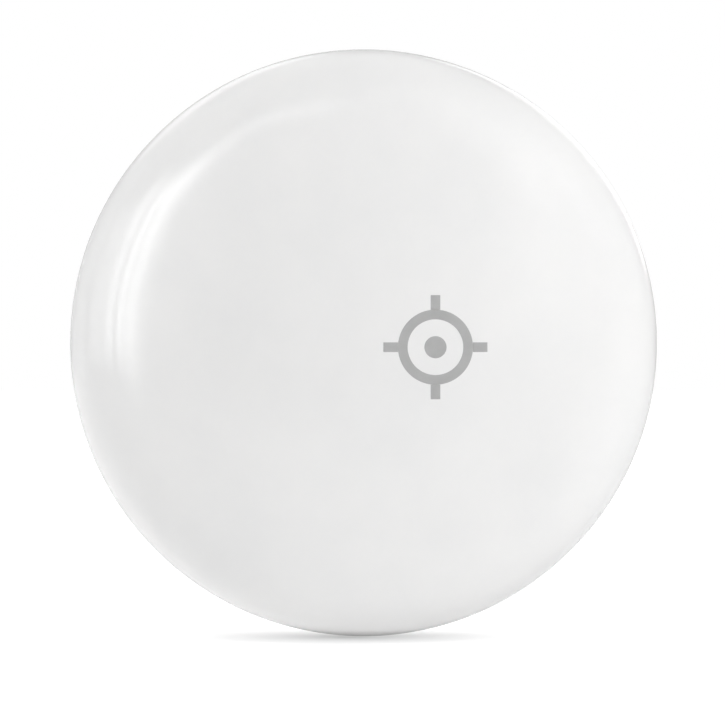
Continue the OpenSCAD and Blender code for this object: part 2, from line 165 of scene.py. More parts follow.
def piece_from(name, bm, materials):
    bmesh.ops.recalc_face_normals(bm, faces=bm.faces)
    mesh = bpy.data.meshes.new(name)
    bm.to_mesh(mesh)
    bm.free()
    obj = bpy.data.objects.new(name, mesh)
    bpy.context.scene.collection.objects.link(obj)
    for material in materials:
        mesh.materials.append(material)
    return obj


def smooth(obj, angle=32):
    """Smooth faces with sharp edges kept, and normals that follow the larger faces."""
    mesh = obj.data
    mesh.shade_smooth()
    mesh.set_sharp_from_angle(angle=math.radians(angle))
    weighted = obj.modifiers.new("face_weighted_normals", "WEIGHTED_NORMAL")
    weighted.keep_sharp = True
    return obj


def on_ring(radius, degrees):
    return radius * math.cos(math.radians(degrees)), radius * math.sin(math.radians(degrees))


def lathe(bm, path, centre=(0, 0), segments=256, closed=False, material=0):
    """Turns a path about an axis that points to the front. An open path starts and ends on the axis."""
    rings = []
    for r, z in path:
        angles = [TURN * k / segments for k in range(segments)] if r > ON_AXIS else [0]
        rings.append([bm.verts.new(place(centre[0] + r * math.cos(a), centre[1] + r * math.sin(a), z))
                      for a in angles])
    pairs = list(zip(rings, rings[1:]))
    if closed:
        pairs.append((rings[-1], rings[0]))
    for a, b in pairs:
        for k in range(segments):
            n = (k + 1) % segments
            if len(a) == 1 and len(b) == 1:
                continue
            if len(a) == 1:
                corners = (a[0], b[k], b[n])
            elif len(b) == 1:
                corners = (a[k], b[0], a[n])
            else:
                corners = (a[k], b[k], b[n], a[n])
            bm.faces.new(corners).material_index = material


def solid(bm, corners, centre=(0, 0), segments=48, steps=4, material=0):
    """Turns a solid from the corners of its half section, closed to the axis at both ends."""
    ends = [(0, corners[0][1]), (0, corners[-1][1])]
    lathe(bm, rounded([ends[0], *corners, ends[1]], steps), centre, segments, False, material)


def cylinder(bm, centre, r, low, high, segments=40):
    solid(bm, [(r, low), (r, high)], centre, segments)


def loft(bm, loops):
    """Closes a stack of equal loops of points into a solid."""
    rows = [[bm.verts.new(p) for p in loop] for loop in loops]
    count = len(rows[0])
    for a, b in zip(rows, rows[1:]):
        for k in range(count):
            n = (k + 1) % count
            bm.faces.new((a[k], b[k], b[n], a[n]))
    bm.faces.new(rows[0])
    bm.faces.new(rows[-1][::-1])


def arc_block(bm, centre_angle, width, r1, r2, z1, z2):
    """Part of a ring with a rectangular section. Angles are in degrees, anticlockwise from the right."""
    steps = max(6, round(width / 2))
    loops = []
    section = ((r1, z1), (r2, z1), (r2, z2), (r1, z2))
    for k in range(steps + 1):
        angle = centre_angle - width / 2 + width * k / steps
        loops.append([place(*on_ring(r, angle), z) for r, z in section])
    loft(bm, loops)


def block_in(bm, low, high, bevel=0.04, material=0):
    """A box with rounded edges from one corner to the other."""
    at = ((low[0] + high[0]) / 2, (low[1] + high[1]) / 2, low[2])
    size = tuple(b - a for a, b in zip(low, high))
    new = bmesh.new()
    bmesh.ops.create_cube(new, size=1.0)
    bmesh.ops.scale(new, verts=new.verts, vec=size)
    if bevel:
        bmesh.ops.bevel(new, geom=new.edges[:], offset=bevel, segments=2, profile=0.6, affect="EDGES",
                        clamp_overlap=True)
    made = {}
    for v in new.verts:
        x, y, z = v.co
        made[v.index] = bm.verts.new(place(at[0] + x, at[1] + y, at[2] + size[2] / 2 + z))
    new.verts.index_update()
    for f in new.faces:
        bm.faces.new([made[v.index] for v in f.verts]).material_index = material
    new.free()


def slot_loop(at, length, width, grow, front, turn, steps=16):
    """The outline of a slot with round ends, grown by grow."""
    r = width / 2 + grow
    half = (length - width) / 2
    points = []
    for end in (1, -1):
        for k in range(steps + 1):
            a = -TURN / 4 + TURN / 2 * k / steps
            points.append((end * (half + r * math.cos(a)), end * r * math.sin(a)))
    c, s = math.cos(math.radians(turn)), math.sin(math.radians(turn))
    return [place(at[0] + x * c - y * s, at[1] + x * s + y * c, front) for x, y in points]


def boolean(obj, bm, how):
    """Cuts or joins the solids in bm with obj, for good."""
    tool = piece_from("boolean_tool", bm, [])
    modifier = obj.modifiers.new("boolean", "BOOLEAN")
    modifier.operation = how
    modifier.solver = "EXACT"
    modifier.object = tool
    bpy.context.view_layer.update()
    made = bpy.data.meshes.new_from_object(obj.evaluated_get(bpy.context.evaluated_depsgraph_get()))
    if not made.polygons:
        raise RuntimeError(obj.name + " is empty after its boolean")
    obj.modifiers.remove(modifier)
    old = obj.data
    obj.data = made
    made.name = old.name
    bpy.data.meshes.remove(old)
    bpy.data.objects.remove(tool)


def settle(obj, body, slot, *nodes):
    """The piece rides on its body and stands for its CAD nodes. slot is not used."""
    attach(obj, body)
    if nodes:
        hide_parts(*nodes)


def finished(obj, body, slot, *nodes):
    settle(smooth(obj), body, slot, *nodes)


def add_piece(name, bm, materials, body, slot, *nodes):
    finished(piece_from(name, bm, materials), body, slot, *nodes)


def on_case(name, bm, materials, slot, *nodes):
    add_piece(name, bm, materials, "case", slot, *nodes)


# ---- Materials ----

class Nodes:
    """A short way to build a material's nodes."""

    def __init__(self, name):
        self.material = bpy.data.materials.new(name)
        self.material.use_nodes = True
        self.tree = self.material.node_tree
        self.tree.nodes.clear()
        self.shader = self.add("ShaderNodeBsdfPrincipled")
        output = self.add("ShaderNodeOutputMaterial")
        self.tree.links.new(self.shader.outputs[0], output.inputs["Surface"])

    def add(self, kind, values=None, **settings):
        node = self.tree.nodes.new(kind)
        for key, value in settings.items():
            setattr(node, key, value)
        for key, value in (values or {}).items():
            self.set(node.inputs[key], value)
        return node

    def set(self, socket, value):
        if isinstance(value, bpy.types.NodeSocket):
            self.tree.links.new(value, socket)
        else:
            socket.default_value = value

    def maths(self, operation, a, b=0.0, clamp=False):
        return self.add("ShaderNodeMath", {0: a, 1: b}, operation=operation, use_clamp=clamp).outputs[0]

    def span(self, value, low, high, to_low=0.0, to_high=1.0):
        return self.add("ShaderNodeMapRange", {"Value": value, "From Min": low, "From Max": high,
                                               "To Min": to_low, "To Max": to_high}).outputs[0]

    def mix(self, factor, a, b):
        node = self.add("ShaderNodeMix", data_type="RGBA", blend_type="MIX")
        self.set(node.inputs[0], factor)
        self.set(node.inputs[6], a)
        self.set(node.inputs[7], b)
        return node.outputs[2]

    def sum(self, values):
        total = values[0]
        for value in values[1:]:
            total = self.maths("ADD", total, value)
        return total

    def relief(self, shape, height):
        return self.maths("MULTIPLY", shape, height * MM)

    def finished(self, values):
        """Sets the shader's sockets and gives the material."""
        for key, value in values.items():
            self.set(self.shader.inputs[key], value)
        return self.material

    def stretched(self, scale, turn=(0, 0, 0)):
        """Object coordinates in millimetres, stretched per axis."""
        source = self.add("ShaderNodeTexCoord").outputs["Object"]
        values = {"Vector": source, "Scale": tuple(s / MM for s in scale), "Rotation": turn}
        return self.add("ShaderNodeMapping", values).outputs[0]

    def turned(self, per_mm):
        """Coordinates that only change with the distance from the tag's axis and along it."""
        where = self.add("ShaderNodeSeparateXYZ", {0: self.add("ShaderNodeTexCoord").outputs["Object"]})
        x, y, z = where.outputs
        squares = self.sum([self.maths("MULTIPLY", x, x), self.maths("MULTIPLY", z, z)])
        away = self.maths("SQRT", squares)
        return self.add("ShaderNodeCombineXYZ", {0: self.maths("MULTIPLY", away, per_mm / MM),
                                                 1: self.maths("MULTIPLY", y, per_mm / MM)}).outputs[0]

    def noise(self, per_mm, detail=3.0, roughness=0.55, vector=None):
        where = vector or self.stretched((1, 1, 1))
        return self.add("ShaderNodeTexNoise", {"Vector": where, "Scale": per_mm, "Detail": detail,
                                               "Roughness": roughness}).outputs["Fac"]


def grey(level, warmth=0.0):
    return (level * (1 + warmth), level, level * (1 - warmth), 1.0)


def colour(r, g, b):
    return (r, g, b, 1.0)


# Fine scratches run two ways: a turn in radians, and how dense their noise is per axis
SCRATCH_WAYS = (((0.3, 0.5, 0.2), (0.25, 9, 9)), ((0.2, -0.9, 0.4), (11, 0.3, 0.3)))
SCRATCH_ROUGH = 0.22
SCRATCH_DEPTH = 0.0012
# The brownish tint that the painted shade in corners darkens towards
SHADE_TINT = colour(0.16, 0.14, 0.12)


def finish_of(name, base, tint, roughness, metallic=0.0, mottle=0.3, pits=(12.0, 0.002), waves=None,
              grain=None, turned=None, scratches=0.0, corner_shade=0.0, worn=0.0, **sockets):
    """A moulded, rubber, plated or machined surface.

    base and tint are mixed by a mottle of that many spots per millimetre. roughness is a low and a high one.
    pits, waves, grain and turned are reliefs: a scale per millimetre (three for grain), and a height in mm.
    scratches, corner_shade and worn say how strong fine scratches, painted shade in corners and near other
    parts, and rubbed edges are.
    """
    n = Nodes(name)
    spots = n.noise(mottle, 5.0, 0.6)
    shade = n.mix(n.span(spots, 0.3, 0.7), base, tint)
    rough = n.span(n.noise(mottle * 2.7, 4.0, 0.65), 0.3, 0.7, *roughness)
    heights = [n.relief(n.noise(pits[0], 2.0, 0.5), pits[1])]
    if waves:
        heights.append(n.relief(n.noise(waves[0], 1.0, 0.4), waves[1]))
    if grain:
        lines = n.noise(1.0, 3.0, 0.6, n.stretched(grain[0]))
        heights.append(n.relief(lines, grain[1]))
        rough = n.maths("ADD", rough, n.span(lines, 0.3, 0.7, -0.05, 0.05))
    if turned:
        lines = n.noise(1.0, 3.0, 0.65, n.turned(turned[0]))
        heights.append(n.relief(lines, turned[1]))
        rough = n.maths("ADD", rough, n.span(lines, 0.3, 0.7, -0.04, 0.04))
    if scratches:
        for turn, scale in SCRATCH_WAYS:
            line = n.span(n.noise(1.0, 2.0, 0.5, n.stretched(scale, turn)), 0.66, 0.72)
            rough = n.maths("ADD", rough, n.maths("MULTIPLY", line, SCRATCH_ROUGH * scratches))
            heights.append(n.relief(line, -SCRATCH_DEPTH * scratches))
    # Painted shade: ambient occlusion darkens the colour in patches towards a brownish tint, and roughens
    # it, in corners, seams and wherever another part or the floor comes near
    if corner_shade:
        open_sky = n.add("ShaderNodeAmbientOcclusion", {"Distance": 0.5 * MM}, samples=6, only_local=False)
        corner = n.maths("MULTIPLY", n.span(open_sky.outputs["AO"], 0.75, 0.2), corner_shade, clamp=True)
        painted_shade = n.maths("MULTIPLY", corner, n.span(n.noise(1.5, 4.0), 0.3, 0.6, 0.4, 1.0))
        shade = n.mix(painted_shade, shade, SHADE_TINT)
        rough = n.maths("ADD", rough, n.maths("MULTIPLY", painted_shade, 0.3))
    if worn:
        soft = n.add("ShaderNodeBevel", {"Radius": 0.09 * MM}, samples=4).outputs[0]
        true = n.add("ShaderNodeNewGeometry").outputs["Normal"]
        facing = n.add("ShaderNodeVectorMath", {0: soft, 1: true}, operation="DOT_PRODUCT").outputs["Value"]
        patchy = n.span(n.noise(3.0, 3.0), 0.35, 0.6)
        edge = n.maths("MULTIPLY", n.span(facing, 0.98, 0.85), patchy, clamp=True)
        rough = n.maths("SUBTRACT", rough, n.maths("MULTIPLY", edge, 0.12 * worn))
        lighter = tuple(min(1.0, c * 1.15 + 0.02) for c in base[:3]) + (1.0,)
        shade = n.mix(n.maths("MULTIPLY", edge, 0.6 * worn), shade, lighter)
    bump = n.add("ShaderNodeBump", {"Height": n.sum(heights), "Distance": 1.0, "Strength": 1.0})
    values = {"Base Color": shade, "Roughness": rough, "Metallic": metallic, "Normal": bump.outputs[0]}
    return n.finished({**values, **sockets})


def board_mask():
    """Green solder mask: lighter over copper fields and traces, with the glass weave below."""
    n = Nodes("green_solder_mask")
    where = n.stretched((1, 1, 1))
    fields, routes = (
        n.add("ShaderNodeTexVoronoi", {"Vector": where, "Scale": scale}, feature="F1", distance=way)
        for scale, way in ((0.3, "CHEBYCHEV"), (0.22, "MANHATTAN")))
    field = n.span(fields.outputs["Distance"], 0.44, 0.46, 1.0, 0.0)
    lane = n.maths("FRACT", n.maths("MULTIPLY", routes.outputs["Distance"], 9.0))
    trace = n.maths("MULTIPLY", n.span(lane, 0.3, 0.34), n.span(lane, 0.62, 0.66, 1.0, 0.0))
    routed = n.maths("MULTIPLY", trace, n.span(n.noise(0.3, 0.0), 0.46, 0.48))
    copper = n.maths("MAXIMUM", field, routed, clamp=True)
    shade = n.mix(copper, colour(0.004, 0.05, 0.024), colour(0.01, 0.1, 0.045))
    weave = n.add("ShaderNodeTexChecker", {"Vector": where, "Scale": 2.4}).outputs["Fac"]
    shade = n.mix(n.maths("MULTIPLY", weave, 0.06), shade, colour(0.03, 0.14, 0.06))
    height = n.maths("ADD", n.relief(copper, 0.015), n.relief(n.noise(6.0), 0.003))
    bump = n.add("ShaderNodeBump", {"Height": height, "Distance": 1.0, "Strength": 0.8})
    rough = n.span(n.noise(1.2), 0.3, 0.7, 0.26, 0.38)
    values = {"Base Color": shade, "Roughness": rough, "Normal": bump.outputs[0], "Coat Weight": 0.3}
    return n.finished(values)


# The two shells and the rubber get painted shade in their corners and near other parts, from the ambient
# occlusion darkening in finish_of
SHELL = finish_of(
    "white_satin_shell", grey(0.84), grey(0.87, 0.004), (0.15, 0.2), mottle=0.16, pits=(9.0, 0.0016),
    waves=(0.22, 0.003), scratches=0.05, corner_shade=0.15, worn=0.5, IOR=1.5)
DOOR_SHELL = finish_of(
    "white_satin_door", grey(0.83), grey(0.86, 0.006), (0.3, 0.44), pits=(7.0, 0.003), waves=(0.3, 0.003),
    scratches=0.9, corner_shade=0.5, worn=0.8, IOR=1.5)
INK = finish_of(
    "grey_pad_print_ink", grey(0.395), grey(0.43), (0.38, 0.5), mottle=1.2, pits=(16.0, 0.0015),
    scratches=0.5, IOR=1.48)
RUBBER = finish_of(
    "dark_silicone_rubber", grey(0.035), grey(0.055), (0.55, 0.75), mottle=0.8, pits=(10.0, 0.006),
    corner_shade=0.2, IOR=1.43)
NICKEL = finish_of(
    "spun_nickel_steel", colour(0.63, 0.615, 0.59), colour(0.6, 0.59, 0.57), (0.2, 0.27), 1.0, mottle=0.35,
    pits=(14.0, 0.0003), turned=(9.0, 0.0012), scratches=0.2, worn=0.4)
GASKET = finish_of("grey_nylon_gasket", grey(0.14), grey(0.19), (0.4, 0.55), mottle=1.0, pits=(12.0, 0.003))
FILLING = finish_of("pressed_cell_filling", grey(0.04), grey(0.08), (0.7, 0.9), mottle=2.0, pits=(9.0, 0.02))
SCREW = finish_of(
    "zinc_screw_steel", grey(0.5, 0.01), grey(0.38, 0.02), (0.28, 0.42), 1.0, mottle=2.0, pits=(14.0, 0.002),
    scratches=0.6, worn=1.0)
RESIN = finish_of("black_chip_resin", grey(0.016), grey(0.028), (0.5, 0.66), mottle=4.0, pits=(18.0, 0.003))
LID = finish_of(
    "plated_metal_lid", colour(0.66, 0.65, 0.63), colour(0.57, 0.565, 0.55), (0.22, 0.36), 1.0, mottle=1.5,
    pits=(16.0, 0.0015), grain=((1, 30, 30), 0.001), scratches=0.4, worn=0.6)
ANTENNA = finish_of(
    "pale_antenna_ceramic", colour(0.72, 0.7, 0.63), colour(0.66, 0.63, 0.55), (0.5, 0.62), mottle=2.5,
    pits=(15.0, 0.003))
FERRITE = finish_of("dark_ferrite", grey(0.045), grey(0.075), (0.45, 0.6), mottle=3.0, pits=(15.0, 0.005))
TAN = finish_of(
    "tan_capacitor_ceramic", colour(0.36, 0.25, 0.15), colour(0.29, 0.2, 0.12), (0.4, 0.5), mottle=3.0,
    pits=(18.0, 0.002))
BLACK = finish_of(
    "black_switch_plastic", grey(0.02), grey(0.03), (0.42, 0.55), mottle=2.0, pits=(14.0, 0.002), worn=0.5)
GOLD = finish_of(
    "gold_flashed_spring", colour(0.83, 0.6, 0.26), colour(0.74, 0.5, 0.2), (0.2, 0.32), 1.0, mottle=1.0,
    pits=(14.0, 0.0005), grain=((0.6, 26, 26), 0.0003), scratches=0.1, worn=0.2)
SPRING = finish_of(
    "spring_steel_dome", grey(0.62), grey(0.55), (0.1, 0.2), 1.0, mottle=2.0, pits=(18.0, 0.0006),
    scratches=0.3)
SOLDER = finish_of("tin_solder", grey(0.64), grey(0.5), (0.2, 0.4), 1.0, mottle=4.0, pits=(9.0, 0.004))
MASK = board_mask()


# ---- Covers ----

SKIRT_IN = TAG_R - 2.4
SKIRT_OUT = TAG_R - 1.7
SKIRT_BOTTOM = COVER_EDGE - 1.25
HOOK_TOP = COVER_EDGE - 1.45
HOOK_BOTTOM = HOOK_TOP - 0.5
HOOK_REACH = 0.45
HOOK_WIDTH = 24
HOOK_ANGLES = (45, 135, 225, 315)
LIP = 0.07


def front_shell():
    """The domed cover: outer skin, lip, inner skin and skirt in one turned wall, with hooks and a post."""
    inner = front_path(WALL)
    skirt_joint = next(k for k, (r, _) in enumerate(inner) if r > SKIRT_IN)
    outer_joint = next(k for k, (r, _) in enumerate(inner) if r > SKIRT_OUT)
    lip = rounded([(TAG_R, FRONT_EDGE), (TAG_R, COVER_EDGE, LIP), (TAG_R - WALL, COVER_EDGE, LIP),
                   (TAG_R - WALL, FRONT_EDGE)])
    between = inner[outer_joint:-1][::-1]
    skirt = rounded([(SKIRT_OUT, inner[outer_joint][1]), (SKIRT_OUT, SKIRT_BOTTOM, 0.1),
                     (SKIRT_IN, SKIRT_BOTTOM, 0.1), (SKIRT_IN, inner[skirt_joint][1])])
    path = eased_front_path()[:-1] + lip + between + skirt + inner[:skirt_joint][::-1]
    bm = bmesh.new()
    lathe(bm, path, segments=320)
    shell = piece_from("front_shell", bm, [SHELL])
    extra = bmesh.new()
    for a in HOOK_ANGLES:
        arc_block(extra, a, HOOK_WIDTH, SKIRT_IN + 0.02, SKIRT_OUT - 0.02, HOOK_BOTTOM, SKIRT_BOTTOM + 0.4)
    boolean(shell, extra, "UNION")
    extra = bmesh.new()
    for a in HOOK_ANGLES:
        arc_block(extra, a, HOOK_WIDTH - 0.5, SKIRT_OUT - 0.15, SKIRT_OUT + HOOK_REACH, HOOK_BOTTOM + 0.03,
                  HOOK_TOP)
    pad_top = reach("button_pad")[1][2]
    post_r, chamfer, post_root = 1.6, 0.1, FRONT - 0.5
    solid(extra, [(post_r - chamfer, pad_top), (post_r, pad_top + chamfer), (post_r, post_root)],
          middle("button_pad"), 64)
    boolean(shell, extra, "UNION")
    finished(shell, "press_cover", "shell_plastic", "front_cover")


# The ink's top and its root, from the dome's skin
INK_T = 0.012
INK_ROOT = -0.004


def dome_front(right, up):
    """Height of the dome's skin over a point of the face."""
    return FRONT - DOME_R + math.sqrt(DOME_R ** 2 - right ** 2 - up ** 2)


def ink_point(at, x, y, lift):
    x, y = at[0] + x, at[1] + y
    return place(x, y, dome_front(x, y) + lift)


def ink_patch(bm, outline_in, outline_out, at, steps):
    """A strip of ink between two outlines, laid on the dome with a soft step at its rim."""
    rim = ((INK_ROOT, 0.0), (INK_T * 0.6, 0.004), (INK_T, 0.02))
    grid = []
    for a, b in zip(outline_in, outline_out):
        a, b = Vector(a), Vector(b)
        width = (b - a).length
        unit = (b - a).normalized()
        line = [(a + unit * inset, lift) for lift, inset in rim]
        line += [(a + unit * (width * s / steps), INK_T) for s in range(1, steps)]
        line += [(b - unit * inset, lift) for lift, inset in rim[::-1]]
        grid.append([bm.verts.new(ink_point(at, p.x, p.y, lift)) for p, lift in line])
    return grid


def skin(bm, grid, closed):
    """Faces over a grid of points, with a flat underside that closes it."""
    pairs = list(zip(grid, grid[1:])) + ([(grid[-1], grid[0])] if closed else [])
    for a, b in pairs:
        for s in range(len(a) - 1):
            bm.faces.new((a[s], b[s], b[s + 1], a[s + 1]))
        bm.faces.new((a[-1], b[-1], b[0], a[0]))
    if not closed:
        bm.faces.new(grid[0])
        bm.faces.new(grid[-1][::-1])


def locator_mark():
    """A ring, a dot and four ticks of grey ink on the dome."""
    low, high = reach("printed_symbol")
    at = middle("printed_symbol")
    half = (high[0] - low[0]) / 2
    stroke = half * 0.186
    ring_r = half - stroke * 1.5
    bm = bmesh.new()
    around = 128
    angles = [TURN * k / around for k in range(around)]
    ring_in = [((ring_r - stroke) * math.cos(a), (ring_r - stroke) * math.sin(a)) for a in angles]
    ring_out = [(ring_r * math.cos(a), ring_r * math.sin(a)) for a in angles]
    skin(bm, ink_patch(bm, ring_in, ring_out, at, 6), True)
    dot_r = stroke * 1.15
    dot_rows = ((1.0, INK_ROOT), (0.985, 0.007), (0.95, INK_T), (0.6, INK_T), (0.3, INK_T))
    loft(bm, [[ink_point(at, dot_r * share * math.cos(a), dot_r * share * math.sin(a), lift) for a in angles]
              for share, lift in dot_rows])
    for quarter in range(4):
        c, s = math.cos(TURN * quarter / 4), math.sin(TURN * quarter / 4)
        left, right = [], []
        overlap, steps = 0.005, 12
        for k in range(steps + 1):
            x = ring_r - overlap + (half - ring_r + overlap) * k / steps
            for y, line in ((-stroke / 2, left), (stroke / 2, right)):
                line.append((x * c - y * s, x * s + y * c))
        skin(bm, ink_patch(bm, left, right, at, 4), False)
    mark = piece_from("locator_mark", bm, [INK])
    mark.data.shade_smooth()
    settle(mark, "press_cover", "grey_ink", "printed_symbol")


DOOR_LOW, DOOR_HIGH = reach("battery_door")
DOOR_R = DOOR_HIGH[0]
DOOR_FACE = DOOR_LOW[2]
DOOR_TOP = DOOR_HIGH[2]
DOOR_HOLE_R = DOOR_R + 0.15
# The fillet of most inner corners
SOFT = 0.08
FLANGE_TOP = BACK + 0.65
SEAT = BACK + 0.7
DOOR_PLATE = BACK + 1.1
LEDGE_LOW = BACK + 1.5
LEDGE_HIGH = BACK + 1.95
LUG_LOW = BACK + 2.0
LUG_ROOM = BACK + 2.65
BAY_PLATE = BACK + 3.25
CELL_R = reach("cell_can")[1][0]
CELL_TOP = reach("cell_cap")[1][2]
DOOR_IN = CELL_R + 0.5
DOOR_OUT = DOOR_IN + 0.8
SEAL_BORE = DOOR_OUT + 0.85
LUG_R = SEAL_BORE - 0.2
LUG_ROOM_R = LUG_R + 0.15
LEDGE_R = DOOR_OUT + 0.1
BAY_OUT = LUG_ROOM_R + 1
BAY_R = CELL_R + 0.35
COLLAR_R = BAY_R + 1
COLLAR_TOP = CELL_TOP + 0.2
FLOOR = BACK + WALL
SEAL_ROOM = TAG_R - 1.2
SHELF_R = TAG_R - 1.55
SHELF = RIM_TOP - 0.75
FIRST_LUG = 90
LUG_WIDTH = 30
NOTCH_WIDTH = 36
LOCK_TURN = 45
STOP_PLAY = 1.5
LUGS = 3
SCREW_RING = 14.9
SCREW_ANGLES = (30, 150, 270)
PEG_ANGLES = (210, 330)
BOARD_LOW, BOARD_HIGH = reach("circuit_board")
BOARD_BACK, BOARD_FRONT = BOARD_LOW[2], BOARD_HIGH[2]


def rear_shell():
    """The back cover: a turned wall with the bay, then notches, stops, bosses, pegs, pockets and marks."""
    floor_r = 2
    corner = arc((SHELF_R - floor_r, FLOOR + floor_r), floor_r, TURN / 4, TURN / 2, 10)
    inside = rounded([
        (BAY_OUT, FLOOR, 0.12), (BAY_OUT, BAY_PLATE, 0.1), (COLLAR_R, BAY_PLATE, 0.1),
        (COLLAR_R, COLLAR_TOP, SOFT), (BAY_R, COLLAR_TOP, 0.12), (BAY_R, LUG_ROOM, 0.1),
        (LUG_ROOM_R, LUG_ROOM, SOFT), (LUG_ROOM_R, LEDGE_HIGH, SOFT), (LEDGE_R, LEDGE_HIGH, SOFT),
        (LEDGE_R, LEDGE_LOW, SOFT), (SEAL_BORE, LEDGE_LOW, SOFT), (SEAL_BORE, SEAT, 0.14),
        (DOOR_HOLE_R, SEAT, SOFT), (DOOR_HOLE_R, BACK, 0.1), (SHOULDER_C, BACK)])
    outside = back_path()[::-1]
    top = rounded([(TAG_R, BACK_EDGE), (TAG_R, RIM_TOP, LIP), (SEAL_ROOM, RIM_TOP, 0.1),
                   (SEAL_ROOM, SHELF, SOFT), (SHELF_R, SHELF, SOFT), (SHELF_R, FLOOR + floor_r)])
    bm = bmesh.new()
    lathe(bm, outside[:-1] + top[:-1] + corner + inside[:-1], segments=320, closed=True)
    shell = piece_from("rear_shell", bm, [SHELL])
    step = 360 / LUGS
    stop_low = LOCK_TURN + LUG_WIDTH / 2 + STOP_PLAY
    stop_high = step - LUG_WIDTH / 2 - STOP_PLAY
    add = bmesh.new()
    for k in range(LUGS):
        arc_block(add, FIRST_LUG + k * step + (stop_low + stop_high) / 2, stop_high - stop_low,
                  LEDGE_R + 0.2, LUG_ROOM_R + 0.1, LEDGE_HIGH - 0.1, LUG_ROOM + 0.1)
    sunk, foot = FLOOR - 0.25, FLOOR + 0.3
    for angle in SCREW_ANGLES:
        solid(add, [(1.6, sunk), (1.35, foot), (1.35, BOARD_BACK, SOFT)], on_ring(SCREW_RING, angle))
    for angle in PEG_ANGLES:
        solid(add, [(1.3, sunk), (1.05, foot), (1.05, BOARD_BACK, SOFT), (0.6, BOARD_BACK),
                    (0.6, BOARD_FRONT + 0.2, 0.15)], on_ring(SCREW_RING, angle))
    boolean(shell, add, "UNION")
    cut = bmesh.new()
    for k in range(LUGS):
        arc_block(cut, FIRST_LUG + k * step, NOTCH_WIDTH, LEDGE_R - 0.5, LUG_ROOM_R, LEDGE_LOW - 0.1,
                  LEDGE_HIGH + 0.1)
    for angle in HOOK_ANGLES:
        arc_block(cut, angle, HOOK_WIDTH + 6, SHELF_R - 0.5, SKIRT_OUT + HOOK_REACH + 0.2,
                  HOOK_BOTTOM - 0.35, HOOK_TOP + 0.05)
    for angle in SCREW_ANGLES:
        cylinder(cut, on_ring(SCREW_RING, angle), 0.7, FLOOR + WALL, BOARD_BACK + 1, 32)
    dimple = [(0, BACK + 0.13), (0.18, BACK + 0.12), (0.29, BACK + 0.07), (0.33, BACK), (0.33, BACK - 0.3),
              (0, BACK - 0.3)]
    for angle in (FIRST_LUG, FIRST_LUG + LOCK_TURN):
        lathe(cut, dimple, on_ring((DOOR_HOLE_R + SHOULDER_C) / 2, angle), 32)
    boolean(shell, cut, "DIFFERENCE")
    finished(shell, "case", "shell_plastic", "back_cover")


def door_piece():
    """The battery door: turned plate and rim, lugs, a coin slot with rounded lips and a pointer dimple."""
    bm = bmesh.new()
    solid(bm, [
        (DOOR_R, DOOR_FACE, 0.16), (DOOR_R, FLANGE_TOP, SOFT), (DOOR_OUT, FLANGE_TOP, 0.1),
        (DOOR_OUT, DOOR_TOP, 0.1), (DOOR_IN, DOOR_TOP, 0.1), (DOOR_IN, DOOR_PLATE, 0.12)], segments=256)
    door = piece_from("door_plate", bm, [DOOR_SHELL])
    lugs = bmesh.new()
    for k in range(LUGS):
        arc_block(lugs, FIRST_LUG + k * 360 / LUGS, LUG_WIDTH, DOOR_OUT - 0.2, LUG_R, LUG_LOW,
                  DOOR_TOP - 0.02)
    boolean(door, lugs, "UNION")
    length, width, depth, lip = 15.0, 1.7, 0.6, 0.14
    cut = bmesh.new()
    # How much the slot grows at each depth: over the face, down its rounded lip, and into its rounded foot
    steps = [(lip, -0.3)]
    quarter = [TURN / 4 * k / 4 for k in range(5)]
    steps += [(lip * (1 - math.sin(a)), lip * (1 - math.cos(a))) for a in quarter]
    steps += [(0, depth - 0.12), (-0.04, depth - 0.04), (-0.12, depth)]
    loft(cut, [slot_loop((0, 0), length, width, grow, DOOR_FACE + down, FIRST_LUG) for grow, down in steps])
    dot = [(0, DOOR_FACE + 0.16), (0.22, DOOR_FACE + 0.14), (0.36, DOOR_FACE + 0.07), (0.42, DOOR_FACE),
           (0.42, DOOR_FACE - 0.3), (0, DOOR_FACE - 0.3)]
    lathe(cut, dot, on_ring(DOOR_R - 1.6, FIRST_LUG), 40)
    boolean(door, cut, "DIFFERENCE")
    finished(door, "door", "shell_plastic", "battery_door")


front_shell()
locator_mark()
rear_shell()
door_piece()


# ---- Coin cell ----

def cell_can():
    """The can with its base corner, crimped lip and pressed plus sign."""
    low, high = reach("cell_can")
    bottom, lip = low[2], high[2]
    sheet, crimp, crimp_r = 0.25, 0.15, CELL_R - 0.75
    bm = bmesh.new()
    solid(bm, [
        (CELL_R, bottom, 0.3), (CELL_R, lip, 0.45), (crimp_r, lip, 0.05), (crimp_r, lip - crimp, 0.05),
        (CELL_R - sheet, lip - crimp, 0.2), (CELL_R - sheet, bottom + sheet, 0.15)], segments=192, steps=6)
    can = piece_from("cell_can_skin", bm, [NICKEL])
    for turn in (0, 90):
        cut = bmesh.new()
        loft(cut, [slot_loop((0, 0), 4, 0.7, grow, bottom + rise, turn)
                   for grow, rise in ((0.08, -0.2), (0.08, 0), (0.03, 0.03), (0, 0.05))])
        boolean(can, cut, "DIFFERENCE")
    finished(can, "coin_cell", "nickel_steel", "cell_can")


def cell_cap():
    """The cap with its folded skirt."""
    top_r = CELL_R - 1.45
    low, fold = CELL_TOP - 2.4, CELL_TOP - 1
    bm = bmesh.new()
    solid(bm, [
        (top_r + 0.2, CELL_TOP, 0.25), (top_r + 0.25, CELL_TOP - 0.95, 0.1), (top_r + 0.45, fold, 0.1),
        (top_r + 0.45, low, 0.05), (top_r + 0.25, low, 0.05), (top_r + 0.2, CELL_TOP - 1.1, 0.1),
        (top_r, fold, 0.05), (top_r - 0.05, CELL_TOP - 0.2, 0.15)], segments=192)
    add_piece("cell_cap_skin", bm, [NICKEL], "coin_cell", "nickel_steel", "cell_cap")


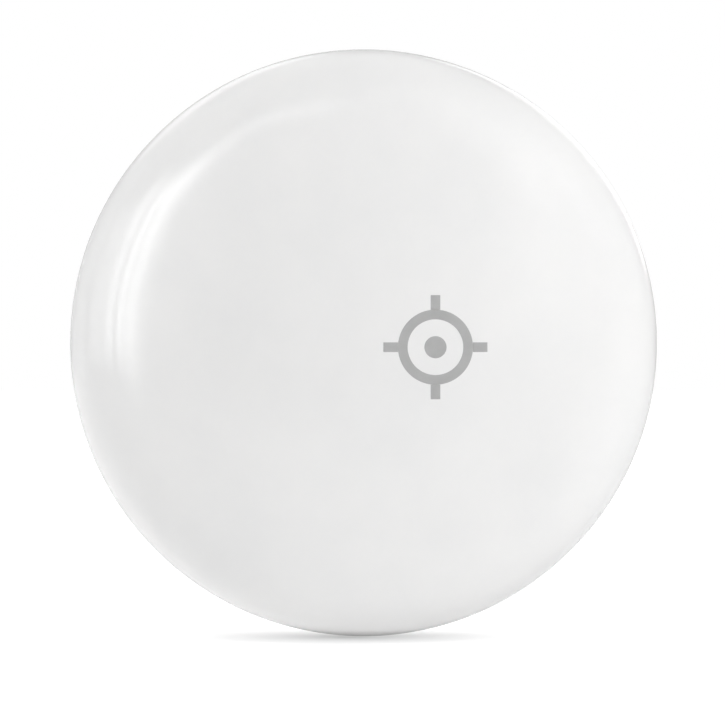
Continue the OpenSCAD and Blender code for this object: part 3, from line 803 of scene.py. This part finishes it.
def cell_gasket():
    """The ring that fills the gap between can and cap."""
    out, lip, crown_in, skirt_in = CELL_R - 0.4, CELL_R - 0.78, CELL_R - 1.12, CELL_R - 0.97
    foot, shoulder, crown, step = CELL_TOP - 2.5, CELL_TOP - 0.62, CELL_TOP - 0.34, CELL_TOP - 0.75
    bm = bmesh.new()
    lathe(bm, rounded([
        (skirt_in, foot, 0.05), (out, foot, 0.05), (out, shoulder, 0.1), (lip, shoulder, 0.04),
        (lip, crown, 0.08), (crown_in, crown, 0.08), (crown_in, step, 0.04), (skirt_in, step, 0.04)]),
        segments=192, closed=True)
    add_piece("cell_gasket_ring", bm, [GASKET], "coin_cell", "grey_nylon", "cell_gasket")


def cell_pellets():
    """The two pressed pellets with the separator's groove between them."""
    low, high = reach("cell_electrodes")
    foot, top, r = low[2], high[2], high[0]
    groove_r = r - 0.15
    bm = bmesh.new()
    solid(bm, [
        (r, foot, 0.12), (r, foot + 1.5, 0.08), (groove_r, foot + 1.54, 0.02), (groove_r, foot + 1.62, 0.02),
        (r, foot + 1.66, 0.08), (r, top, 0.12)], segments=192)
    add_piece("cell_pellets", bm, [FILLING], "coin_cell", "cell_filling", "cell_electrodes")


# ---- Board and its parts ----

TAB_T = 0.15
TAB_W = 1.4
SCREW_HOLE_R = 0.83
PEG_HOLE_R = 0.65


def islands(node):
    """The lowest and highest (right, up, front) of each separate solid of a CAD node, in millimetres."""
    bm = bmesh.new()
    bm.from_mesh(frame["nodes"][node].data)
    bmesh.ops.remove_doubles(bm, verts=bm.verts, dist=0.0005 * MM)
    left = set(bm.verts)
    boxes = []
    while left:
        group, edge = set(), [min(left, key=lambda v: v.index)]
        while edge:
            v = edge.pop()
            if v not in group:
                group.add(v)
                edge += [e.other_vert(v) for e in v.link_edges]
        left -= group
        points = [(v.co.x / MM, v.co.z / MM, -v.co.y / MM) for v in group]
        boxes.append((tuple(min(p[k] for p in points) for k in range(3)),
                      tuple(max(p[k] for p in points) for k in range(3))))
    bm.free()
    return sorted(boxes)


def inset(low, high, by, foot, top):
    """The corners of a box that is smaller than another in outline, and has its own foot and top."""
    return (low[0] + by, low[1] + by, foot), (high[0] - by, high[1] - by, top)


def ended_chip(bm, low, high, share, slimmer=0.02):
    """A passive part: a body (material 0) between two plated ends (1), each on a solder pad (2)."""
    size = [b - a for a, b in zip(low, high)]
    long = 0 if size[0] >= size[1] else 1
    cross = 1 - long
    end = size[long] * share
    body_low, body_high = list(low), list(high)
    body_low[long] += end * 0.6
    body_high[long] -= end * 0.6
    body_low[cross] += slimmer
    body_high[cross] -= slimmer
    body_high[2] -= slimmer
    block_in(bm, body_low, body_high, 0.02)
    for side in (0, 1):
        a, b = list(low), list(high)
        if side:
            a[long] = high[long] - end
        else:
            b[long] = low[long] + end
        block_in(bm, a, b, 0.035, 1)
        pad_low, pad_high = list(a), list(b)
        pad_low[long] -= 0.12 * (1 - side)
        pad_high[long] += 0.12 * side
        pad_low[cross] -= 0.04
        pad_high[cross] += 0.04
        pad_high[2] = pad_low[2] + 0.06
        block_in(bm, pad_low, pad_high, 0.025, 2)


def passives():
    """Capacitors, resistors and the inductor with plated ends."""
    for node, body, share, slot in (("chip_capacitors", TAN, 0.24, "tan_ceramic"),
                                    ("chip_inductor", FERRITE, 0.2, "dark_ferrite")):
        bm = bmesh.new()
        for low, high in islands(node):
            ended_chip(bm, low, high, share)
        on_case(node + "_ended", bm, [body, LID, SOLDER], slot, node)
    bm = bmesh.new()
    for low, high in islands("chip_resistors"):
        ended_chip(bm, low, high, 0.2, 0.03)
        width, height = high[0] - low[0], high[1] - low[1]
        trim = (0.24 * width, 0.04) if width > height else (0.04, 0.24 * height)
        film_low = (low[0] + trim[0], low[1] + trim[1], high[2] - 0.04)
        block_in(bm, film_low, (high[0] - trim[0], high[1] - trim[1], high[2] - 0.005), 0.01, 3)
    on_case("chip_resistors_ended", bm, [ANTENNA, LID, SOLDER, RESIN], "chip_resin", "chip_resistors")


def leadless_chip(node, pitch, dot):
    """A resin package with pads showing along its foot and a dimple at its first pad."""
    low, high = islands(node)[0]
    bm = bmesh.new()
    block_in(bm, (low[0], low[1], low[2] + 0.04), high, 0.05)
    chip = piece_from(node + "_package", bm, [RESIN, SOLDER])
    cut = bmesh.new()
    from_corner = 0.7 * dot / 0.3
    dish = [(0, high[2] - 0.05), (dot * 0.8, high[2] - 0.045), (dot, high[2] + 0.1), (0, high[2] + 0.1)]
    lathe(cut, dish, (low[0] + from_corner, high[1] - from_corner), 32)
    boolean(chip, cut, "DIFFERENCE")
    pads = bmesh.new()
    pads.from_mesh(chip.data)
    pad, proud = 0.45 * pitch, 0.03
    for axis in (0, 1):
        count = round((high[axis] - low[axis] - 2 * pitch) / pitch) + 1
        first = (low[axis] + high[axis]) / 2 - (count - 1) * pitch / 2
        for k in range(count):
            for face in (low[1 - axis] - proud, high[1 - axis] - 0.25):
                a, b = [0, 0, low[2]], [0, 0, low[2] + 0.16]
                a[axis], b[axis] = first + k * pitch - pad / 2, first + k * pitch + pad / 2
                a[1 - axis], b[1 - axis] = face, face + 0.25 + proud
                block_in(pads, a, b, 0.015, 1)
    bmesh.ops.recalc_face_normals(pads, faces=pads.faces)
    pads.to_mesh(chip.data)
    pads.free()
    finished(chip, "case", "chip_resin", node)


def lidded_crystal(node):
    """A ceramic base with a seam-welded metal lid."""
    low, high = islands(node)[0]
    bm = bmesh.new()
    base = low[2] + 0.6 * (high[2] - low[2])
    block_in(bm, low, (high[0], high[1], base), 0.05, 1)
    block_in(bm, *inset(low, high, 0.08, base - 0.05, high[2] - 0.05), 0.08)
    block_in(bm, *inset(low, high, 0.22, high[2] - 0.08, high[2]))
    for left, right in ((low[0] - 0.05, low[0] + 0.35), (high[0] - 0.35, high[0] + 0.05)):
        block_in(bm, (left, low[1] + 0.1, low[2]), (right, high[1] - 0.1, low[2] + 0.08), 0.02, 2)
    on_case(node + "_can", bm, [LID, ANTENNA, SOLDER], "plated_lid", node)


def antenna():
    """A ceramic block with a metal meander printed on it, between two plated ends."""
    low, high = islands("chip_antenna")[0]
    bm = bmesh.new()
    block_in(bm, low, high, 0.05)
    turns, margin, side, film = 9, 0.6, 0.25, 0.01
    pitch = (high[0] - low[0] - 2 * margin) / turns
    line = pitch * 0.4
    foot = high[2] - 0.006
    for k in range(turns):
        x = low[0] + margin + pitch * k
        block_in(bm, (x, low[1] + side, foot), (x + line, high[1] - side, foot + film), 0.003, 1)
        y = high[1] - side if k % 2 else low[1] + side + line
        if k < turns - 1:
            block_in(bm, (x, y - line, foot), (x + pitch + line, y, foot + film), 0.003, 1)
    for left, right in ((low[0], low[0] + 0.4), (high[0] - 0.4, high[0])):
        block_in(bm, (left, low[1], low[2]), (right, high[1], high[2]), 0.045, 1)
    on_case("antenna_block", bm, [ANTENNA, LID], "pale_ceramic", "chip_antenna")


def board():
    """The board with its holes, plated rings, via dots and test pads."""
    low, high = BOARD_LOW[2], BOARD_HIGH[2]
    edge = BOARD_HIGH[0]
    bm = bmesh.new()
    solid(bm, [(edge, low, 0.04), (edge, high, 0.04)], segments=256, steps=3)
    plate = piece_from("board_laminate", bm, [MASK])
    cut = bmesh.new()
    for angles, r in ((SCREW_ANGLES, SCREW_HOLE_R), (PEG_ANGLES, PEG_HOLE_R)):
        for angle in angles:
            cylinder(cut, on_ring(SCREW_RING, angle), r, low - 1, high + 1)
    boolean(plate, cut, "DIFFERENCE")
    cut = bmesh.new()
    for node in ("positive_contact", "negative_contact"):
        x = tab_middle(node)
        half_t, half_w = TAB_T / 2 + 0.1, TAB_W / 2 + 0.15
        block_in(cut, (x - half_t, -half_w, low - 1), (x + half_t, half_w, high + 1), 0)
    boolean(plate, cut, "DIFFERENCE")
    finished(plate, "case", "green_board", "circuit_board")
    pads = bmesh.new()
    thick, sunk = 0.02, 0.004
    back = low - thick + sunk
    for face in (back, high - sunk):
        for angles, bore, r in ((SCREW_ANGLES, SCREW_HOLE_R, 1.28), (PEG_ANGLES, PEG_HOLE_R, 0.85)):
            for angle in angles:
                section = [(bore, face), (r, face), (r, face + thick), (bore, face + thick)]
                lathe(pads, section, on_ring(SCREW_RING, angle), 40, True)
    test_pads = [(-7 + 1.6 * k, 5.6 - 0.3 * (k % 2)) for k in range(8)]
    test_pads += [(-5 + 1.7 * k, -6.4) for k in range(6)]
    for k, at in enumerate(test_pads):
        cylinder(pads, at, 0.42 if k % 3 else 0.5, back, back + thick, 28)
    vias, golden_angle = 90, 137.5
    holes = [on_ring(SCREW_RING, angle) for angle in SCREW_ANGLES + PEG_ANGLES]
    for k in range(vias):
        at = on_ring(1.1 + 14.2 * math.sqrt(k / vias), golden_angle * k)
        if abs(at[1]) < 2.2 or min(math.dist(at, hole) for hole in holes) < 1.6:
            continue
        for face in (back + 0.006, high - 0.008):
            cylinder(pads, at, 0.13, face, face + 0.012, 12)
    on_case("board_pads", pads, [GOLD], "gold_contact")


def screws():
    """Pan head screws with a cross recess and a thread."""
    head_r, head_h, edge_h = 1.2, 0.45, 0.18
    low, high = islands("board_screws")[0]
    bottom, seat, top = low[2], BOARD_FRONT, high[2]
    root, thread_r, pitch = 0.55, 0.68, 0.3
    path = [(0, bottom), (0.3, bottom), (root, bottom + 0.3)]
    z = bottom + 0.35
    while z < seat - 0.4:
        path += [(root, z), (thread_r, z + pitch * 0.4), (thread_r, z + pitch * 0.5)]
        path += [(root, z + pitch * 0.9)]
        z += pitch
    path += [(root, seat), (head_r - 0.06, seat), (head_r, seat + 0.05), (head_r, seat + edge_h)]
    dome_h = head_h - edge_h
    path += [(head_r * math.cos(a), seat + edge_h + dome_h * math.sin(a)) for a in (0.3, 0.6, 0.9, 1.2)]
    path += [(0, top)]
    bm = bmesh.new()
    for angle in SCREW_ANGLES:
        lathe(bm, path, on_ring(SCREW_RING, angle), 48)
    heads = piece_from("board_screw_set", bm, [SCREW])
    for cross in (0, 90):
        cut = bmesh.new()
        for k, angle in enumerate(SCREW_ANGLES):
            loft(cut, [slot_loop(on_ring(SCREW_RING, angle), 1.4, 0.32, grow, z, cross + 20 + 50 * k, 4)
                       for grow, z in ((-0.08, top - 0.26), (-0.02, top - 0.2), (0.02, top + 0.2))])
        boolean(heads, cut, "DIFFERENCE")
    finished(heads, "case", "screw_steel", "board_screws")


def buzzer():
    """A square sounder: a housing round a well, and a metal lid with two pressed rings and a sound hole."""
    low, high = reach("buzzer_case")
    mid = middle("buzzer_case")
    bm = bmesh.new()
    block_in(bm, low, high, 0.14)
    case = piece_from("sounder_housing", bm, [RESIN])
    cut = bmesh.new()
    solid(cut, [(4, low[2] + 0.5, 0.1), (4, high[2] + 1)], mid, 96)
    boolean(case, cut, "DIFFERENCE")
    finished(case, "case", "chip_resin", "buzzer_case")
    low, high = reach("buzzer_lid")
    bm = bmesh.new()
    block_in(bm, low, high, 0.03)
    lid = piece_from("sounder_lid", bm, [LID])
    cut = bmesh.new()
    top, hole = high[2], (mid[0] + 2.6, mid[1] + 2.6)
    solid(cut, [(0.6, low[2] - 1), (0.6, top - 0.03), (0.66, top + 0.01), (0.66, top + 1)], hole)
    for r in (1.6, 2.6):
        lathe(cut, [(r - 0.12, top + 0.02), (r, top - 0.035), (r + 0.12, top + 0.02)], mid, 96, True)
    boolean(lid, cut, "DIFFERENCE")
    finished(lid, "case", "plated_lid", "buzzer_lid")


def switch():
    """The switch: housing with its well, folded metal frame, feet, and the stem with a domed top."""
    low, high = reach("switch_body")
    at = middle("switch_body")
    bm = bmesh.new()
    block_in(bm, low, high, 0.09)
    body = piece_from("switch_housing", bm, [BLACK])
    cut = bmesh.new()
    well_r = 1.2
    solid(cut, [(well_r, low[2] + 0.1, 0.06), (well_r, high[2] + 1)], at, 64)
    boolean(body, cut, "DIFFERENCE")
    finished(body, "case", "black_plastic", "switch_body")
    low, high = reach("switch_plunger")
    foot, stem_r, flange_r = low[2], 0.85, high[0] - at[0]
    bm = bmesh.new()
    solid(bm, [(flange_r, foot, 0.04), (flange_r, foot + 0.2, 0.04), (stem_r, foot + 0.2, 0.04),
               (stem_r, high[2], 0.12)], at, 64)
    add_piece("switch_stem_cap", bm, [BLACK], "switch_stem", "black_plastic", "switch_plunger")
    low, high = reach("switch_frame")
    bm = bmesh.new()
    plate = 0.12
    block_in(bm, (low[0], low[1], high[2] - plate), high, 0.03)
    for y in (low[1], high[1] - 0.1):
        block_in(bm, (low[0], y, low[2]), (high[0], y + 0.1, high[2] - plate * 0.4), 0.03)
    cover = piece_from("switch_plate", bm, [LID])
    cut = bmesh.new()
    hole_r, top = stem_r + 0.05, high[2]
    solid(cut, [(hole_r, top - 0.5), (hole_r, top - 0.03), (stem_r + 0.1, top + 0.5)], at, 64)
    boolean(cover, cut, "DIFFERENCE")
    finished(cover, "case", "plated_lid", "switch_frame")
    bm = bmesh.new()
    for low, high in islands("switch_terminals"):
        block_in(bm, low, high)
        block_in(bm, *inset(low, high, -0.08, low[2], low[2] + 0.05), 0.02, 1)
    on_case("switch_feet", bm, [GOLD, SOLDER], "gold_contact", "switch_terminals")


def tab_middle(node):
    """Where the solder tab of a contact stands: at the outer end of the left one, and of the right one."""
    low, high = reach(node)
    return low[0] + TAB_T / 2 if low[0] < -CELL_R else high[0] - TAB_T / 2


def bent(bm, corners, width):
    """A strip bent in the right/front plane, with rounded bends."""
    outline = rounded(corners, 5)
    loft(bm, [[place(x, side * width / 2, z) for x, z in outline] for side in (-1, 1)])


def contact(node, corners):
    """A bent spring with its tab through the board, in a cone of solder."""
    low, high = reach(node)
    bm = bmesh.new()
    bent(bm, corners, high[1] - low[1])
    x = tab_middle(node)
    tab_low = (x - TAB_T / 2, -TAB_W / 2, BOARD_BACK - 0.05)
    block_in(bm, tab_low, (x + TAB_T / 2, TAB_W / 2, high[2]), 0.03)
    cone = [(0.62, BOARD_FRONT - 0.02), (0.5, BOARD_FRONT + 0.05, 0.05), (0.16, BOARD_FRONT + 0.17, 0.06)]
    solid(bm, cone, (x, 0), 32, material=1)
    on_case(node + "_spring", bm, [GOLD, SOLDER], "gold_contact", node)


def contacts():
    """The side spring on the can and the leaf spring on the cap."""
    low, high = reach("positive_contact")
    near, far, foot = high[0], low[0], BOARD_BACK - TAB_T
    contact("positive_contact", [
        (near, low[2], 0.06), (near - TAB_T, low[2], 0.06), (near - TAB_T, foot, 0.12), (far, foot, 0.03),
        (far, BOARD_BACK, 0.03), (near, BOARD_BACK, 0.26)])
    low, high = reach("negative_contact")
    leaf, tip, curl = 0.12, low[2], low[2] + 0.09
    root, bend, touch, end = high[0], high[0] - 2.5, low[0] + 0.8, low[0]
    contact("negative_contact", [
        (root, BOARD_BACK - leaf, 0.03), (bend, BOARD_BACK - leaf, 0.5), (touch, tip, 0.3),
        (end, curl, 0.04), (end, curl + leaf, 0.04), (touch, tip + leaf, 0.3), (bend, BOARD_BACK, 0.5),
        (root, BOARD_BACK, 0.03)])


cell_can()
cell_cap()
cell_gasket()
cell_pellets()
board()
screws()
leadless_chip("soc_chip", 0.5, 0.3)
leadless_chip("motion_chip", 0.5, 0.16)
lidded_crystal("radio_crystal")
lidded_crystal("clock_crystal")
antenna()
passives()
buzzer()
switch()
contacts()


# ---- Plain carried-over nodes that only need a finish ----

for node in ("case_seal", "door_seal", "button_pad"):
    frame["nodes"][node].data.materials[0] = RUBBER
frame["nodes"]["switch_dome"].data.materials[0] = SPRING


# ---- Stage, lights and camera ----

def ray(tree, kind):
    return tree.nodes.new("ShaderNodeLightPath").outputs[kind]


def floor():
    """A wide pale floor that glows a little. The camera sees it glow fully but for a painted, soft round
    shadow.
    """
    n = Nodes("pale_floor")
    camera_ray = ray(n.tree, "Is Camera Ray")
    where = n.add("ShaderNodeTexCoord").outputs["Object"]
    # Painted shadow: to the camera the glow dims to a soft round patch under the tag
    away = n.add("ShaderNodeVectorMath", {0: where, 1: place(*SHADOW_CENTRE)}, operation="DISTANCE")
    out = n.span(away.outputs["Value"], 0.0, SHADOW_R * MM)
    seen = n.span(n.maths("POWER", out, SHADOW_FADE), 0.0, 1.0, SHADOW_LEVEL, 1.0)
    glow = n.add("ShaderNodeMix", {0: camera_ray, 2: FLOOR_GLOW, 3: seen}, data_type="FLOAT").outputs[0]
    pale = n.mix(n.noise(0.02), grey(0.88), grey(0.9))
    values = {"Base Color": n.mix(camera_ray, pale, grey(FLOOR_SHADE)),
              "Roughness": n.span(n.noise(0.05), 0.3, 0.7, 0.6, 0.75), "Specular IOR Level": 0.05,
              "Emission Color": grey(1.0), "Emission Strength": glow}
    n.finished(values)
    bm = bmesh.new()
    bmesh.ops.create_grid(bm, x_segments=8, y_segments=8, size=3.0)
    for v in bm.verts:
        v.co.z = -TAG_R * MM
    piece_from("floor", bm, [n.material])


def studio_world():
    """White to the camera, grey in reflections and dim as a light."""
    world = bpy.data.worlds.new("studio")
    world.use_nodes = True
    bpy.context.scene.world = world
    background = world.node_tree.nodes["Background"]
    background.inputs["Color"].default_value = grey(1.0)
    tree = world.node_tree
    lit = tree.nodes.new("ShaderNodeMapRange")
    lit.inputs["To Min"].default_value = WORLD_LIGHT
    lit.inputs["To Max"].default_value = WORLD_GLOSS
    tree.links.new(ray(tree, "Is Glossy Ray"), lit.inputs["Value"])
    seen = tree.nodes.new("ShaderNodeMapRange")
    seen.inputs["To Max"].default_value = 1.0
    tree.links.new(ray(tree, "Is Camera Ray"), seen.inputs["Value"])
    tree.links.new(lit.outputs[0], seen.inputs["To Min"])
    tree.links.new(seen.outputs[0], background.inputs["Strength"])


def softbox(name, azimuth, elevation, size, power, distance=0.5, diffuse=True, gloss=True):
    """A soft light that looks at the tag. Azimuth 0 is at the camera and 90 at the right."""
    light = bpy.data.lights.new(name, "AREA")
    light.shape = "RECTANGLE"
    light.size, light.size_y = size
    light.energy = power
    obj = bpy.data.objects.new(name, light)
    bpy.context.scene.collection.objects.link(obj)
    turn, rise = math.radians(azimuth), math.radians(elevation)
    way = Vector((math.sin(turn) * math.cos(rise), -math.cos(turn) * math.cos(rise), math.sin(rise)))
    obj.location = way * distance
    obj.rotation_mode = "QUATERNION"
    obj.rotation_quaternion = way.to_track_quat("Z", "Y")
    obj.visible_camera = False
    obj.visible_diffuse = diffuse
    obj.visible_glossy = gloss


# How strongly the floor and the world light the tag, and how bright the world is in its reflections
FLOOR_GLOW = 0.17
WORLD_LIGHT = 0.075
WORLD_GLOSS = 0.45
# The painted shadow that the camera sees in the floor's glow: its middle, radius, darkest level and fade,
# and the floor's shade in it
SHADOW_CENTRE = (-0.8, -TAG_R, 1.8)
SHADOW_R = 12.2
SHADOW_LEVEL = 0.35
SHADOW_FADE = 0.8
FLOOR_SHADE = 0.12

floor()
studio_world()
# Soft light that shapes the face: a near key from the upper right, one beside it, one above, two at the left
softbox("key_right", 35, 35, (0.12, 0.12), 0.255, distance=0.2, gloss=False)
softbox("side_right", 70, 15, (0.08, 0.12), 0.015, distance=0.14, gloss=False)
softbox("top", 0, 85, (0.3, 0.2), 0.36, gloss=False)
softbox("rim_left", -96, 5, (0.2, 0.4), 1.5, gloss=False)
softbox("rim_upper_left", -95, 30, (0.2, 0.2), 0.5, gloss=False)
# Panels that show as the bright crescent on the left shoulder, from the face outwards, and on the right
softbox("panel_inner", -19, 8, (0.045, 0.22), 0.09, diffuse=False)
softbox("panel_middle", -24, 8, (0.04, 0.24), 0.25, diffuse=False)
softbox("panel_outer", -32, 8, (0.04, 0.3), 0.35, diffuse=False)
softbox("panel_shoulder", -44, 10, (0.1, 0.35), 0.5, diffuse=False)
softbox("panel_rim", -62, 8, (0.2, 0.35), 0.4, diffuse=False)
softbox("panel_upper", -23, 21, (0.1, 0.06), 0.05, diffuse=False)
softbox("panel_top", -10, 28, (0.12, 0.06), 0.05, diffuse=False)
softbox("panel_right", 16, 4, (0.09, 0.3), 0.1, diffuse=False)
# Soft light on the back
softbox("back_right", 150, 25, (0.3, 0.3), 0.4)
softbox("back_left", -150, 40, (0.3, 0.2), 0.25)
softbox("back_top", 180, 70, (0.3, 0.3), 0.15)

FOCAL = 268.1
SENSOR = 36.0
DISTANCE = 0.35
camera_data = bpy.data.cameras.new("camera")
camera_data.lens = FOCAL
camera_data.sensor_width = SENSOR
camera_data.clip_start, camera_data.clip_end = 0.01, 20.0
camera = bpy.data.objects.new("camera", camera_data)
bpy.context.scene.collection.objects.link(camera)
camera.location = (-0.00007, -DISTANCE, -0.00128)
camera.rotation_euler = (TURN / 4, 0, 0)
bpy.context.scene.camera = camera
bpy.context.scene.view_settings.view_transform = "Standard"
